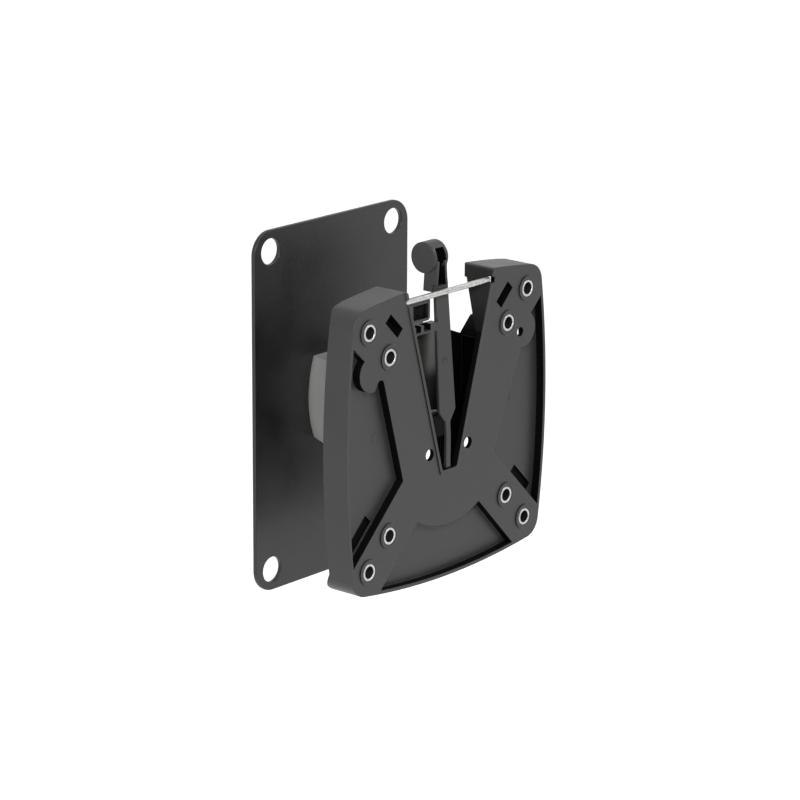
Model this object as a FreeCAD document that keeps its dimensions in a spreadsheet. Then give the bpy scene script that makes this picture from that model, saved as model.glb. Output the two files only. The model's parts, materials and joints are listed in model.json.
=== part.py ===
import FreeCAD, Part
import math
import os
import re

import Sketcher

# Monitor wall mount: a wall plate with a silver hub, a tilt yoke, a swivel knuckle and a quick-release
# head with a spring lever. Millimetres. The origin is the centre of the wall plate's back face, +Z is up
# and the monitor side faces -Y. The pieces of the head are drawn about the centre of its hole patterns.

SIZES = {
    # wall plate
    "plate_width": 96.0,
    "plate_height": 155.0,
    "plate_thick": 2.0,
    "plate_corner": 10.0,
    "wall_hole_side_inset": 9.75,
    "wall_hole_end_inset": 9.0,
    "wall_hole_dia": 11.0,
    # silver hub on the plate
    "hub_end_width": 24.4,
    "hub_mid_width": 31.0,
    "hub_height": 35.4,
    "hub_flare": 2.5,
    "hub_low_flare": 2.2,
    "hub_depth": 12.0,
    "hub_rise": 1.6,
    "hub_screw_across": 15.0,
    "hub_screw_up": 26.0,
    "hub_screw_dia": 4.0,
    "hub_screw_head": 7.8,
    "hub_screw_length": 7.0,
    "hub_floor": 1.9,
    "cheek_gap": 15.0,
    "cheek_thick": 8.5,
    "cheek_round": 9.0,
    # tilt pivot
    "tilt_thread": 6.5,
    "pivot_bolt_dia": 8.0,
    "pivot_washer_dia": 16.0,
    "pivot_washer_thick": 1.6,
    "bolt_head_across": 15.0,
    "bolt_head_thick": 5.3,
    "nut_thick": 6.5,
    "thread_end": 1.5,
    "bore_end": 0.5,
    "disc_thick": 1.0,
    "running_gap": 0.05,
    "swing_gap": 0.6,
    # yoke and swivel pivot
    "yoke_round": 9.0,
    "yoke_ear_thick": 8.5,
    "yoke_mouth": 44.0,
    "yoke_web_thick": 4.5,
    "web_gap": 1.0,
    "tongue_round": 8.5,
    "barrel_dia": 17.4,
    "barrel_gap": 0.8,
    # rotation pivot behind the head
    "boss_dia": 20.0,
    "boss_reach": 9.5,
    "ring_thick": 1.5,
    "spin_bolt_dia": 6.0,
    "spin_head_across": 11.0,
    "spin_head_thick": 3.5,
    "spin_thread": 4.5,
    "spin_washer_dia": 12.0,
    "spin_washer_thick": 1.0,
    # quick-release shoe in the back of the head
    "shoe_seat": 12.95,
    "shoe_thick": 3.0,
    "shoe_width": 42.0,
    "shoe_top": 34.2,
    "shoe_crown": 39.3,
    "shoe_crown_half": 8.0,
    "shoe_shoulder": 6.0,
    "shoe_leg_inside": 6.5,
    "shoe_leg_drop": 25.0,
    "shoe_end_round": 10.5,
    "shoe_flange": 1.5,
    "shoe_gap": 0.3,
    # head moulding
    "head_drop": 2.5,
    "head_half": 63.7,
    "head_bow": 4.8,
    "head_corner_round": 8.5,
    "head_depth": 15.3,
    "head_side_depth": 12.4,
    "head_side_low": 51.0,
    "head_side_high": 55.0,
    "head_side_ramp": 5.0,
    "head_wall": 2.2,
    "head_inner_round": 6.0,
    "head_skin": 2.0,
    "head_rim": 1.5,
    "rim_part_inset": 2.0,
    "pocket_depth": 3.8,
    "lip_wide": 1.5,
    "lip_high": 0.5,
    "notch_floor": -17.3,
    "notch_floor_half": 4.5,
    "notch_slope": 0.2824,
    "notch_wall": 2.0,
    "notch_wall_low": 20.0,
    "notch_slope_front": 34.6,
    "notch_slope_back": 66.9,
    "guide_rib": 2.0,
    "guide_rib_low": 2.0,
    "guide_rib_high": 43.0,
    "guide_rib_shoulder": 34.0,
    "guide_rib_front": 7.0,
    "guide_rib_step": 0.4,
    # sunk fields of the face and the floors behind them
    "field_top": 45.2,
    "field_drop": 46.6,
    "field_step_across": 52.7,
    "field_step_up": 38.8,
    "field_boss_across": 46.5,
    "field_boss_up": 25.3,
    "field_boss_round": 7.6,
    "field_nick_across": 44.9,
    "field_nick_up": 28.0,
    "field_nick_inside": 41.0,
    "field_nick_low": 27.6,
    "field_nick_round": 2.1,
    "field_waist": 28.9,
    "field_waist_drop": 16.2,
    "low_field_half": 42.5,
    "low_field_inside": 19.7,
    "floor_lap": 2.6,
    "floor_rim_lap": 1.0,
    # eyelets of the two monitor hole patterns
    "wide_pattern": 100.0,
    "narrow_pattern": 75.0,
    "eyelet_dia": 7.4,
    "eyelet_bore": 5.0,
    "eyelet_length": 6.0,
    "eyelet_boss_dia": 11.0,
    "press_gap": 0.02,
    # openings and marks in the head's face
    "vent_across": 12.2,
    "vent_drop": 8.9,
    "vent_dia": 5.0,
    "peg_across": 45.8,
    "peg_up": 32.0,
    "peg_dia": 4.0,
    "peg_relief_dia": 10.4,
    "peg_relief_aside": 3.7,
    "peg_relief_drop": 0.5,
    "top_slot_across": 35.0,
    "top_slot_up": 50.0,
    "top_slot_long": 10.5,
    "top_slot_wide": 4.6,
    "top_slot_deep": 4.7,
    "top_slot_wall": 1.1,
    "low_slot_across": 51.6,
    "low_slot_drop": 34.2,
    "low_slot_long": 15.0,
    "low_slot_wide": 4.6,
    "low_slot_floor": 0.7,
    "low_disc_radius": 41.0,
    # cross rod and latch keeper in the notch
    "rod_dia": 2.45,
    "rod_length": 53.6,
    "rod_aside": 0.5,
    "rod_end_gap": 2.0,
    "rod_depth": 1.5,
    "rod_inset": 5.9,
    "rod_gap": 0.15,
    "keeper_inner": 8.6,
    "keeper_drop": 2.3,
    "keeper_tall": 8.5,
    "keeper_round": 1.5,
    "keeper_depth": 3.5,
    "keeper_thick": 4.5,
    "keeper_border": 1.2,
    "keeper_window": 9.3,
    "keeper_window_deep": 1.2,
    "keeper_slit": 2.7,
    "keeper_slit_deep": 3.6,
    # release lever
    "lever_gap": 0.3,
    "lever_thick": 1.5,
    "lever_front": 0.2,
    "stem_half": 1.4,
    "stem_bend": -2.9,
    "stem_top": 2.5,
    "blade_low": 7.3,
    "blade_low_half": 5.15,
    "blade_rise": 2.2,
    "blade_top_half": 3.9,
    "blade_lean": 4.05,
    "arm_drop": 1.7,
    "arm_tall": 3.6,
    "arm_reach": 18.6,
    "arm_thick": 3.8,
    "arm_pocket_wide": 4.0,
    "arm_pocket_inside": 8.4,
    "arm_outer_pocket_wide": 2.9,
    "arm_post": 2.0,
    "arm_floor": 0.9,
    "arm_pocket_deep": 3.0,
    "web_thick": 1.3,
    "web_lap": 0.8,
    "web_deep": 7.0,
    "web_taper": 1.2,
    "knob_dia": 13.0,
    "knob_length": 8.4,
    "knob_rise": 13.0,
    "knob_depth": 11.2,
    "knob_slot_wide": 5.4,
    "knob_slot_drop": 1.0,
    "knob_slot_tall": 5.2,
    "knob_slot_floor": 3.0,
}

# Sizes that follow from the ones above, so that pieces that meet stay together.
DERIVED = {
    "wall_hole_across": "plate_width - 2 * wall_hole_side_inset",
    "wall_hole_up": "plate_height - 2 * wall_hole_end_inset",
    "tilt_reach": "hub_screw_length + hub_floor + tongue_round + swing_gap",
    "web_back": "tilt_reach + cheek_round + web_gap",
    "swivel_reach": "web_back + yoke_web_thick + barrel_gap + barrel_dia / 2",
    "boss_front": "swivel_reach + boss_reach",
    "head_standoff": "boss_front + ring_thick + running_gap + shoe_seat",
    "head_corner": "head_half - head_bow",
    "rim_from": "pocket_depth + head_skin",
    "rod_up": "head_half - rod_inset",
    "keeper_high": "rod_up - keeper_drop",
    "keeper_low": "keeper_high - keeper_tall",
    "arm_high": "keeper_low - arm_drop",
    "arm_low": "arm_high - arm_tall",
    "blade_top": "rod_up + blade_rise",
    "web_low": "rod_up - web_lap",
    "knob_up": "rod_up + knob_rise",
    "knob_slot_low": "knob_up - knob_slot_drop",
    "knob_slot_high": "knob_slot_low + knob_slot_tall",
}

# Places worked out from the sizes, written as expressions of them.
HEAD_AT = ("0", "-head_standoff", "-head_drop")
WORD = re.compile(r"[a-z][a-z0-9_]*")
SIDE_ARC = "((head_corner^2 + (head_half - head_corner)^2) / (2 * (head_half - head_corner)))"
LEG_ROOT = "(-sqrt(shoe_end_round^2 - shoe_leg_inside^2))"
HUB_SAG = "((hub_mid_width - hub_end_width) / 2)"

doc = FreeCAD.newDocument("monitor_wall_mount")
sheet = doc.addObject("Spreadsheet::Sheet", "Sizes")
cells = dict((alias, str(size)) for alias, size in SIZES.items())
cells.update((alias, "=" + rule) for alias, rule in DERIVED.items())
for row, (alias, content) in enumerate(cells.items(), start=1):
    sheet.set("A%d" % row, alias)
    sheet.set("B%d" % row, content)
    sheet.setAlias("B%d" % row, alias)
doc.recompute()

nodes = []


# Drawing helpers

def bind(text):
    """Put the sheet's name in front of every size in an expression."""
    return WORD.sub(lambda hit: "Sizes." + hit.group() if hit.group() in cells else hit.group(), text)


def value(text):
    """The number an expression gives with the sizes as they are."""
    return float(sheet.evalExpression(bind(text)))


def minus(text):
    return "-(" + text + ")"


def signed(sign, text):
    return text if sign > 0 else minus(text)


def half_notch(up):
    """Half the width of the V notch at a height on the head's face."""
    return "(notch_floor_half + notch_slope * ((" + up + ") - notch_floor))"


def rim_inside(across, inset="head_rim"):
    """Distance from the centre to a line inside the head's bowed side, at a place along that side."""
    arc = "(" + SIDE_ARC + " - " + inset + ")"
    return "(head_half - " + SIDE_ARC + " + sqrt(" + arc + "^2 - (" + across + ")^2))"


def place(obj, at, turn=None):
    """Bind an object's Placement to expressions, with an optional fixed turn."""
    if turn:
        obj.Placement = FreeCAD.Placement(FreeCAD.Vector(), turn)
    for axis, text in zip("xyz", at):
        obj.setExpression("Placement.Base." + axis, bind(text))


def new_body(label, at=("0", "0", "0")):
    body = doc.addObject("PartDesign::Body", label)
    body.Label = label
    place(body, at)
    nodes.append(body)
    return body


def sketch_on(body, name, plane, offset="0"):
    sketch = body.newObject("Sketcher::SketchObject", body.Label + "_" + name)
    datum = [item for item in body.Origin.OriginFeatures if item.Role == plane][0]
    sketch.AttachmentSupport = [(datum, "")]
    sketch.MapMode = "FlatFace"
    sketch.setExpression("AttachmentOffset.Base.z", bind(offset))
    return sketch


def pin_point(sketch, geometry, end, x, y):
    """Tie a point of the sketch to the sheet by its two distances from the origin."""
    for kind, text in (("DistanceX", x), ("DistanceY", y)):
        row = sketch.addConstraint(Sketcher.Constraint(kind, -1, 1, geometry, end, value(text)))
        sketch.setExpression("Constraints[%d]" % row, bind(text))


def size_radius(sketch, geometry, radius):
    row = sketch.addConstraint(Sketcher.Constraint("Radius", geometry, value(radius)))
    sketch.setExpression("Constraints[%d]" % row, bind(radius))


def circle(sketch, x, y, radius):
    centre = FreeCAD.Vector(value(x), value(y), 0)
    geometry = sketch.addGeometry(Part.Circle(centre, FreeCAD.Vector(0, 0, 1), value(radius)))
    pin_point(sketch, geometry, 3, x, y)
    size_radius(sketch, geometry, radius)


def arc_between(start, finish, radius, turn):
    """The short arc from start to finish, turning left (1) or right (-1)."""
    chord = finish - start
    left = FreeCAD.Vector(-chord.y, chord.x, 0).normalize()
    rise = math.sqrt(max(radius ** 2 - (chord.Length / 2) ** 2, 0.0))
    centre = start + chord * 0.5 + left * (rise * turn)
    first, last = (start, finish) if turn > 0 else (finish, start)
    begin = math.atan2(first.y - centre.y, first.x - centre.x)
    end = math.atan2(last.y - centre.y, last.x - centre.x)
    if end <= begin:
        end += 2 * math.pi
    return Part.ArcOfCircle(Part.Circle(centre, FreeCAD.Vector(0, 0, 1), radius), begin, end)


def loop(sketch, corners):
    """A closed outline. Each corner is (x, y), reached by a straight side, or (x, y, radius, turn),
    reached by an arc that turns left (1) or right (-1)."""
    points = [FreeCAD.Vector(value(corner[0]), value(corner[1]), 0) for corner in corners]
    sides = []
    for index, corner in enumerate(corners):
        start, finish = points[index - 1], points[index]
        if len(corner) == 2:
            geometry = sketch.addGeometry(Part.LineSegment(start, finish))
            sides.append((geometry, 1, 2))
            continue
        geometry = sketch.addGeometry(arc_between(start, finish, value(corner[2]), corner[3]))
        sides.append((geometry, 1, 2) if corner[3] > 0 else (geometry, 2, 1))
    for index, corner in enumerate(corners):
        geometry, first, last = sides[index]
        after, after_first, after_last = sides[(index + 1) % len(sides)]
        sketch.addConstraint(Sketcher.Constraint("Coincident", geometry, last, after, after_first))
        pin_point(sketch, geometry, last, corner[0], corner[1])
        if len(corner) == 4:
            size_radius(sketch, geometry, corner[2])


def rectangle(sketch, low_x, low_y, high_x, high_y):
    loop(sketch, [(low_x, low_y), (high_x, low_y), (high_x, high_y), (low_x, high_y)])


def rounded_rectangle(sketch, half_x, half_y, radius):
    near_x, near_y = half_x + " - " + radius, half_y + " - " + radius
    loop(sketch, [
        (near_x, minus(half_y)),
        (half_x, minus(near_y), radius, 1),
        (half_x, near_y),
        (near_x, half_y, radius, 1),
        (minus(near_x), half_y),
        (minus(half_x), near_y, radius, 1),
        (minus(half_x), minus(near_y)),
        (minus(near_x), minus(half_y), radius, 1),
    ])


def slanted_slot(sketch, x, y, long_side, wide_side, side, lean):
    """A rectangle turned by 45 degrees. Its long side rises away from the middle (lean 1) or towards it."""
    along = "(" + long_side + ") / 2 * sqrt(0.5)"
    aside = "(" + wide_side + ") / 2 * sqrt(0.5)"
    corners = []
    for step, over in ((-1, -1), (1, -1), (1, 1), (-1, 1)):
        shift_x = signed(step, along) + " + " + signed(-over, aside)
        shift_y = signed(step, along) + " + " + signed(over, aside)
        across = x + " + " + signed(lean, "(" + shift_x + ")")
        corners.append((signed(side, across), y + " + " + shift_y))
    loop(sketch, corners if side * lean > 0 else corners[::-1])


def finish_feature(body, feature, sketch, length, options):
    feature.Profile = sketch
    feature.setExpression("Length", bind(length))
    for key, setting in options.items():
        setattr(feature, key, setting)
    sketch.Visibility = False
    body.Tip = feature
    doc.recompute()
    return feature


def pad(body, sketch, length, **options):
    feature = body.newObject("PartDesign::Pad", sketch.Name + "_pad")
    return finish_feature(body, feature, sketch, length, options)


def pocket(body, sketch, length, **options):
    """Cut a pocket and stop if it took nothing away."""
    before = body.Shape.Volume
    feature = body.newObject("PartDesign::Pocket", sketch.Name + "_cut")
    finish_feature(body, feature, sketch, length, options)
    if body.Shape.Volume > before - 0.01:
        raise RuntimeError("the cut %s takes nothing away" % feature.Name)
    return feature


def round_edges(body, name, radius, wanted):
    """Fillet the edges of the body's tip that pass a test on their middle point and length."""
    base = body.Tip
    names = []
    for number, edge in enumerate(base.Shape.Edges, start=1):
        if wanted(edge):
            names.append("Edge%d" % number)
    feature = body.newObject("PartDesign::Fillet", body.Label + "_" + name)
    feature.Base = (base, names)
    feature.setExpression("Radius", bind(radius))
    body.Tip = feature
    doc.recompute()
    return feature


# Turned pieces and fasteners

TURNS = {
    "right": (FreeCAD.Rotation(FreeCAD.Vector(0, 1, 0), 90), 0, 1),
    "left": (FreeCAD.Rotation(FreeCAD.Vector(0, 1, 0), -90), 0, -1),
    "up": (FreeCAD.Rotation(), 2, 1),
    "front": (FreeCAD.Rotation(FreeCAD.Vector(1, 0, 0), 90), 1, -1),
    "back": (FreeCAD.Rotation(FreeCAD.Vector(1, 0, 0), -90), 1, 1),
}


def slide(at, way, distance):
    """Move a place along a direction by an expression."""
    axis, sign = TURNS[way][1], TURNS[way][2]
    moved = list(at)
    moved[axis] = moved[axis] + " + " + signed(sign, "(" + distance + ")")
    return tuple(moved)


def cylinder(name, at, way, radius, height):
    solid = doc.addObject("Part::Cylinder", name)
    solid.setExpression("Radius", bind(radius))
    solid.setExpression("Height", bind(height))
    place(solid, at, TURNS[way][0])
    return solid


def hexagon(name, at, way, across_corners, height):
    solid = doc.addObject("Part::Prism", name)
    solid.Polygon = 6
    solid.setExpression("Circumradius", bind("(" + across_corners + ") / 2"))
    solid.setExpression("Height", bind(height))
    place(solid, at, TURNS[way][0])
    return solid


def cut(name, base, tool):
    result = doc.addObject("Part::Cut", name)
    result.Base = base
    result.Tool = tool
    return result


def fuse(name, solids):
    result = doc.addObject("Part::MultiFuse", name)
    result.Shapes = solids
    return result


def ring(name, at, way, outer, inner, thick):
    outside = cylinder(name + "_outside", at, way, "(" + outer + ") / 2", thick)
    inside = cylinder(name + "_inside", at, way, "(" + inner + ") / 2", thick)
    return cut(name, outside, inside)


def keep(label, solids):
    """Register a finished piece, or a set of like pieces, as one named node."""
    node = solids[0]
    if len(solids) > 1:
        node = doc.addObject("Part::Compound", label + "_set")
        node.Links = solids
    node.Label = label
    nodes.append(node)


def bolt(label, at, way, head_across, head_thick, dia, length):
    """A hexagon bolt with its head's seat at a place and its shank running the given way."""
    head = hexagon(label + "_head", slide(at, way, minus(head_thick)), way, head_across, head_thick)
    shank = cylinder(label + "_shank", at, way, "(" + dia + ") / 2", length)
    keep(label, [fuse(label + "_body", [head, shank])])


def nut(label, at, way, across, thick, bore):
    outside = hexagon(label + "_outside", at, way, across, thick)
    inside = cylinder(label + "_bore", at, way, "(" + bore + ") / 2", thick)
    keep(label, [cut(label + "_body", outside, inside)])


PIVOT_BORE = "pivot_bolt_dia + 2 * running_gap"
PRESS_BORE = "pivot_bolt_dia + 2 * press_gap"


# Wall side

def wall_plate():
    body = new_body("wall_plate")
    outline = sketch_on(body, "outline", "XZ_Plane")
    rounded_rectangle(outline, "plate_width / 2", "plate_height / 2", "plate_corner")
    for side in (-1, 1):
        for level in (-1, 1):
            circle(outline, signed(side, "wall_hole_across / 2"), signed(level, "wall_hole_up / 2"),
                   "wall_hole_dia / 2")
            circle(outline, signed(side, "hub_screw_across / 2"),
                   "hub_rise + " + signed(level, "hub_screw_up / 2"),
                   "hub_screw_dia / 2 + press_gap")
    pad(body, outline, "plate_thick")
    sink = "(hub_screw_head - hub_screw_dia) / 2"
    base = body.Tip
    near = value("hub_screw_dia / 2 + press_gap")
    names = []
    for number, edge in enumerate(base.Shape.Edges, start=1):
        round_edge = hasattr(edge.Curve, "Radius") and abs(edge.Curve.Radius - near) < 0.001
        if round_edge and abs(edge.CenterOfMass.y) < 0.001:
            names.append("Edge%d" % number)
    chamfer = body.newObject("PartDesign::Chamfer", "wall_plate_sinks")
    chamfer.Base = (base, names)
    chamfer.setExpression("Size", bind(sink))
    body.Tip = chamfer
    doc.recompute()


def hub_outline(body, name, offset, extra, extra_low):
    """The hub's section: flat above and below, bowed at the sides."""
    sketch = sketch_on(body, name, "XZ_Plane", offset)
    wide = "(hub_end_width / 2 + " + extra + ")"
    tall = "(hub_height + " + extra_low + ")"
    arc = "((" + tall + "^2 / 4 + " + HUB_SAG + "^2) / (2 * " + HUB_SAG + "))"
    top = "hub_rise + hub_height / 2"
    low = top + " - " + tall
    loop(sketch, [
        (wide, low),
        (wide, top, arc, 1),
        (minus(wide), top),
        (minus(wide), low, arc, 1),
    ])
    return sketch


def tongue_outline(sketch, near, axis, radius, turn):
    """A straight-sided tongue with a round end about a pivot, seen from the side."""
    low, high = "hub_rise - " + radius, "hub_rise + " + radius
    tip = minus(axis) + " + " + signed(turn, radius)
    loop(sketch, [
        (minus(near), low),
        (minus(axis), low),
        (tip, "hub_rise", radius, turn),
        (minus(axis), high, radius, turn),
        (minus(near), high),
    ])


def wall_hub():
    body = new_body("wall_hub")
    near = hub_outline(body, "foot", "plate_thick", "0", "0")
    far = hub_outline(body, "front", "plate_thick + hub_depth", "hub_flare", "hub_low_flare")
    block = body.newObject("PartDesign::AdditiveLoft", "wall_hub_block")
    block.Profile = near
    block.Sections = [far]
    body.Tip = block
    doc.recompute()
    for name, offset in (("cheek_right", "cheek_gap / 2"), ("cheek_left", "-cheek_gap / 2 - cheek_thick")):
        side = sketch_on(body, name, "YZ_Plane", offset)
        tongue_outline(side, "(plate_thick + hub_depth / 2)", "tilt_reach", "cheek_round", -1)
        pad(body, side, "cheek_thick")
    mouth = sketch_on(body, "mouth", "XZ_Plane", "tilt_reach")
    rectangle(mouth, "-cheek_gap / 2", "hub_rise - hub_height / 2 - 2 * hub_low_flare",
              "cheek_gap / 2", "hub_rise + hub_height / 2 + hub_low_flare")
    pocket(body, mouth, "tongue_round + swing_gap")
    outside = "(cheek_gap / 2 + cheek_thick)"
    seat = sketch_on(body, "washer_seat", "YZ_Plane", outside)
    circle(seat, "-tilt_reach", "hub_rise", "pivot_washer_dia / 2 + swing_gap")
    pocket(body, seat, "hub_mid_width / 2 + hub_flare", Reversed=True)
    bore = sketch_on(body, "pivot_bore", "YZ_Plane", outside)
    circle(bore, "-tilt_reach", "hub_rise", "(" + PRESS_BORE + ") / 2")
    pocket(body, bore, outside + " + cheek_gap / 2 + tilt_thread + bore_end")
    screws = sketch_on(body, "screw_holes", "XZ_Plane", "plate_thick")
    for side in (-1, 1):
        for level in (-1, 1):
            circle(screws, signed(side, "hub_screw_across / 2"),
                   "hub_rise + " + signed(level, "hub_screw_up / 2"), "hub_screw_dia / 2 + press_gap")
    pocket(body, screws, "hub_screw_length - plate_thick + bore_end", Reversed=True)


def hub_screws():
    """Countersunk screws that hold the hub from behind the plate, flush with its back."""
    screws = []
    cone_high = "(hub_screw_head - hub_screw_dia) / 2"
    for side, side_name in ((-1, "left"), (1, "right")):
        for level, level_name in ((-1, "low"), (1, "high")):
            name = "hub_screw_%s_%s" % (level_name, side_name)
            at = (signed(side, "hub_screw_across / 2"), "0", "hub_rise + " + signed(level, "hub_screw_up / 2"))
            head = doc.addObject("Part::Cone", name + "_head")
            head.setExpression("Radius1", bind("hub_screw_head / 2 - press_gap"))
            head.setExpression("Radius2", bind("hub_screw_dia / 2 - press_gap"))
            head.setExpression("Height", bind(cone_high))
            place(head, at, TURNS["front"][0])
            shank = cylinder(name + "_shank", at, "front", "hub_screw_dia / 2", "hub_screw_length")
            socket = hexagon(name + "_socket", at, "front", "hub_screw_dia * 0.7", "hub_screw_dia * 0.35")
            screws.append(cut(name, fuse(name + "_solid", [head, shank]), socket))
    keep("hub_screws", screws)


def tilt_pivot():
    """The bolt goes in from the right and ends in a thread in the left cheek."""
    outside = "(cheek_gap / 2 + cheek_thick)"
    axis = ("0", "-tilt_reach", "hub_rise")
    washer_at = slide(axis, "right", outside)
    bolt("tilt_bolt", slide(washer_at, "right", "pivot_washer_thick"), "left", "bolt_head_across",
         "bolt_head_thick", "pivot_bolt_dia",
         "pivot_washer_thick + " + outside + " + cheek_gap / 2 + tilt_thread")
    keep("tilt_washer", [
        ring("tilt_washer_ring", washer_at, "right", "pivot_washer_dia", PRESS_BORE, "pivot_washer_thick"),
    ])
    inner = "(cheek_gap / 2)"
    keep("tilt_friction_discs", [
        ring("tilt_disc_left", slide(axis, "right", minus(inner)), "right", "2 * tongue_round", PRESS_BORE,
             "disc_thick"),
        ring("tilt_disc_right", slide(axis, "right", inner + " - disc_thick"), "right", "2 * tongue_round",
             PRESS_BORE, "disc_thick"),
    ])


# Yoke and swivel

def tilt_yoke():
    body = new_body("tilt_yoke")
    half = "(yoke_mouth / 2)"
    reach = "(" + half + " + yoke_ear_thick)"
    web = sketch_on(body, "web", "XZ_Plane", "web_back")
    rectangle(web, "-yoke_round", "hub_rise - " + reach, "yoke_round", "hub_rise + " + reach)
    pad(body, web, "yoke_web_thick")
    ears = (("ear_high", "hub_rise + " + half), ("ear_low", "hub_rise - " + half + " - yoke_ear_thick"))
    for name, offset in ears:
        ear = sketch_on(body, name, "XY_Plane", offset)
        loop(ear, [
            ("yoke_round", "-web_back"),
            ("-yoke_round", "-web_back"),
            ("-yoke_round", "-swivel_reach"),
            ("0", "-swivel_reach - yoke_round", "yoke_round", 1),
            ("yoke_round", "-swivel_reach", "yoke_round", 1),
        ])
        pad(body, ear, "yoke_ear_thick")
    tongue = sketch_on(body, "tongue", "YZ_Plane")
    tongue_outline(tongue, "(web_back + yoke_web_thick / 2)", "tilt_reach", "tongue_round", 1)
    pad(body, tongue, "cheek_gap - 2 * disc_thick - 2 * running_gap", SideType="Symmetric")
    tilt_bore = sketch_on(body, "tilt_bore", "YZ_Plane")
    circle(tilt_bore, "-tilt_reach", "hub_rise", "(" + PIVOT_BORE + ") / 2")
    pocket(body, tilt_bore, "2 * cheek_gap", SideType="Symmetric")
    swivel_bore = sketch_on(body, "swivel_bore", "XY_Plane", "hub_rise")
    circle(swivel_bore, "0", "-swivel_reach", "(" + PRESS_BORE + ") / 2")
    pocket(body, swivel_bore, "2 * yoke_mouth + 4 * yoke_ear_thick", SideType="Symmetric")


def swivel_pivot():
    half = "(yoke_mouth / 2)"
    outside = "(" + half + " + yoke_ear_thick)"
    axis = ("0", "-swivel_reach", "hub_rise")
    under = slide(axis, "up", minus(outside + " + pivot_washer_thick"))
    grip = "2 * " + outside + " + 2 * pivot_washer_thick"
    bolt("swivel_bolt", under, "up", "bolt_head_across", "bolt_head_thick", "pivot_bolt_dia",
         grip + " + nut_thick + thread_end")
    nut("swivel_nut", slide(under, "up", grip), "up", "bolt_head_across", "nut_thick", PRESS_BORE)
    keep("swivel_washers", [
        ring("swivel_washer_low", under, "up", "pivot_washer_dia", PRESS_BORE, "pivot_washer_thick"),
        ring("swivel_washer_high", slide(axis, "up", outside), "up", "pivot_washer_dia", PRESS_BORE,
             "pivot_washer_thick"),
    ])
    keep("swivel_friction_discs", [
        ring("swivel_disc_low", slide(axis, "up", minus(half)), "up", "barrel_dia", PRESS_BORE, "disc_thick"),
        ring("swivel_disc_high", slide(axis, "up", half + " - disc_thick"), "up", "barrel_dia", PRESS_BORE,
             "disc_thick"),
    ])


def swivel_knuckle():
    body = new_body("swivel_knuckle")
    barrel = sketch_on(body, "barrel", "XY_Plane", "hub_rise")
    circle(barrel, "0", "-swivel_reach", "barrel_dia / 2")
    pad(body, barrel, "yoke_mouth - 2 * disc_thick - 2 * running_gap", SideType="Symmetric")
    boss = sketch_on(body, "boss", "XZ_Plane", "swivel_reach")
    circle(boss, "0", "-head_drop", "boss_dia / 2")
    pad(body, boss, "boss_reach")
    thread = sketch_on(body, "thread", "XZ_Plane", "boss_front")
    circle(thread, "0", "-head_drop", "spin_bolt_dia / 2 + press_gap")
    pocket(body, thread, "spin_thread + bore_end")
    pin_bore = sketch_on(body, "pin_bore", "XY_Plane", "hub_rise")
    circle(pin_bore, "0", "-swivel_reach", "(" + PIVOT_BORE + ") / 2")
    pocket(body, pin_bore, "2 * yoke_mouth", SideType="Symmetric")


def spin_pivot():
    """The bolt on which the head turns from landscape to portrait, with its washers."""
    boss_face = ("0", "-boss_front", "-head_drop")
    bore = "spin_bolt_dia + 2 * press_gap"
    keep("spin_friction_ring", [
        ring("spin_ring", boss_face, "front", "boss_dia", bore, "ring_thick"),
    ])
    washer_at = slide(boss_face, "front", "ring_thick + shoe_thick + 2 * running_gap")
    keep("spin_washer", [
        ring("spin_washer_ring", washer_at, "front", "spin_washer_dia", bore, "spin_washer_thick"),
    ])
    seat = slide(washer_at, "front", "spin_washer_thick")
    bolt("spin_bolt", seat, "back", "spin_head_across", "spin_head_thick", "spin_bolt_dia",
         "spin_washer_thick + ring_thick + shoe_thick + 2 * running_gap + spin_thread")


def release_shoe():
    """The channel in the back of the head that carries it on the rotation bolt."""
    body = new_body("release_shoe", HEAD_AT)
    half = "(shoe_width / 2)"
    plate = sketch_on(body, "plate", "XZ_Plane", "-shoe_seat")
    loop(plate, [
        (half, "-shoe_leg_drop"),
        (half, "shoe_top"),
        ("shoe_crown_half", "shoe_crown"),
        ("-shoe_crown_half", "shoe_crown"),
        (minus(half), "shoe_top"),
        (minus(half), "-shoe_leg_drop"),
        ("-shoe_leg_inside", "-shoe_leg_drop"),
        ("-shoe_leg_inside", LEG_ROOT),
        ("0", "-shoe_end_round", "shoe_end_round", 1),
        ("shoe_leg_inside", LEG_ROOT, "shoe_end_round", 1),
        ("shoe_leg_inside", "-shoe_leg_drop"),
    ])
    pad(body, plate, "shoe_thick")
    flanges = sketch_on(body, "flanges", "XZ_Plane", "-shoe_seat")
    rectangle(flanges, half + " - shoe_flange", "shoe_shoulder", half, "shoe_top")
    rectangle(flanges, minus(half), "shoe_shoulder", minus(half + " - shoe_flange"), "shoe_top")
    pad(body, flanges, "shoe_seat - head_skin")
    bore = sketch_on(body, "bore", "XZ_Plane", "0")
    circle(bore, "0", "0", "spin_bolt_dia / 2 + running_gap")
    pocket(body, bore, "shoe_seat + shoe_thick")


# Head

PATTERN_CORNERS = [(side, level) for side in (-1, 1) for level in (-1, 1)]


def head_outline(sketch, corner):
    """A square with its sides bowed outwards."""
    loop(sketch, [
        (corner, corner, SIDE_ARC, 1),
        (minus(corner), corner, SIDE_ARC, 1),
        (minus(corner), minus(corner), SIDE_ARC, 1),
        (corner, minus(corner), SIDE_ARC, 1),
    ])


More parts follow.
